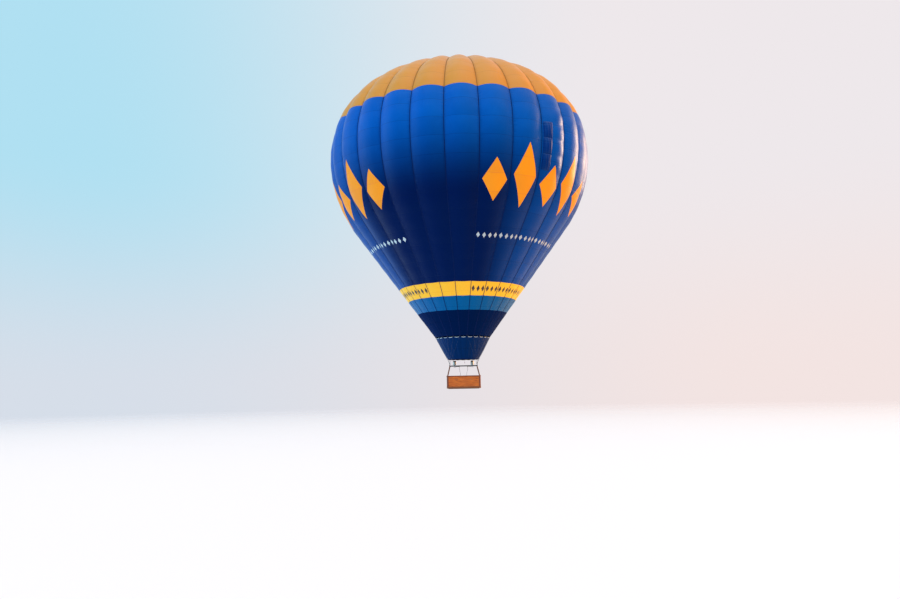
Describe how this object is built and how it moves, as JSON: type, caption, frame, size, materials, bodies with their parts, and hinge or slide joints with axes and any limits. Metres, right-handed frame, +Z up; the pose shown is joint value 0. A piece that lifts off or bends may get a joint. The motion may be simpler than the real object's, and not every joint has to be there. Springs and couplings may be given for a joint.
{
  "type": "hot air balloon",
  "caption": "Hot air balloon: lobed gold and blue envelope, skirt, flying wires, tube frame with gimballed burners, wicker basket on wooden runners.",
  "frame": {"origin": "centre of the basket's underside, at the foot of the middle runner", "axes": "+Z up along the envelope's axis, +X along the basket's long side, front at -Y"},
  "size_m": [22.9954, 23.0996, 29.2589],
  "materials": {
    "gold_fabric": "satin",
    "blue_fabric": "satin",
    "yellow_fabric": "satin",
    "teal_fabric": "satin",
    "heat_fabric": "matte",
    "load_tape": "matte",
    "wire": "satin",
    "alloy": "satin",
    "frame_paint": "satin",
    "stainless": "polished",
    "leather": "matte",
    "wicker": "matte",
    "timber": "matte",
    "jacket": "matte",
    "hose": "matte"
  },
  "bodies": {
    "hull": {"heat_panels": "heat_fabric", "lower_strip": "teal_fabric", "yellow_band": "yellow_fabric", "blue_panels_lower": "blue_fabric", "blue_panels_upper": "blue_fabric", "crown_panels": "gold_fabric", "turning_vent_left": "blue_fabric", "turning_vent_right": "blue_fabric", "crown_tapes": "load_tape", "crown_ring": "alloy", "skirt": "heat_fabric", "burner_frame": "frame_paint", "basket_floor": "timber", "basket_walls": "wicker", "scuff_band": "leather", "rim_padding": "leather", "flying_wires_front_left": "wire", "upright_front_left": "leather", "fuel_cylinder_front_left": "jacket", "fuel_hose_front_left": "hose", "flying_wires_front_right": "wire", "upright_front_right": "leather", "fuel_cylinder_front_right": "jacket", "fuel_hose_front_right": "hose", "flying_wires_back_right": "wire", "upright_back_right": "leather", "fuel_cylinder_back_right": "jacket", "fuel_hose_back_right": "hose", "flying_wires_back_left": "wire", "upright_back_left": "leather", "fuel_cylinder_back_left": "jacket", "fuel_hose_back_left": "hose", "partition_left": "wicker", "partition_right": "wicker", "runner_front": "timber", "runner_middle": "timber", "runner_back": "timber"},
    "crown_valve": {"parachute_valve": "gold_fabric"},
    "left_gimbal": {"gimbal_left": "frame_paint"},
    "left_burner": {"burner_block_left": "alloy", "burner_can_front_left": "stainless", "burner_can_back_left": "stainless"},
    "right_gimbal": {"gimbal_right": "frame_paint"},
    "right_burner": {"burner_block_right": "alloy", "burner_can_front_right": "stainless", "burner_can_back_right": "stainless"}
  },
  "joints": [
    {"name": "crown_valve_drop", "type": "slide", "parent": "hull", "child": "crown_valve", "axis": [0, 0, 1], "range_m": [-1.5, 0], "stiffness_N_per_m": 300, "springref_m": 0.6},
    {"name": "left_gimbal_tilt", "type": "hinge", "parent": "hull", "child": "left_gimbal", "pos_m": [-0.78, 0, 2], "axis": [1, 0, 0], "range_deg": [-12, 12]},
    {"name": "left_burner_tilt", "type": "hinge", "parent": "left_gimbal", "child": "left_burner", "pos_m": [-0.78, 0, 2], "axis": [0, 1, 0], "range_deg": [-12, 12]},
    {"name": "right_gimbal_tilt", "type": "hinge", "parent": "hull", "child": "right_gimbal", "pos_m": [0.78, 0, 2], "axis": [1, 0, 0], "range_deg": [-12, 12]},
    {"name": "right_burner_tilt", "type": "hinge", "parent": "right_gimbal", "child": "right_burner", "pos_m": [0.78, 0, 2], "axis": [0, 1, 0], "range_deg": [-12, 12]}
  ]
}
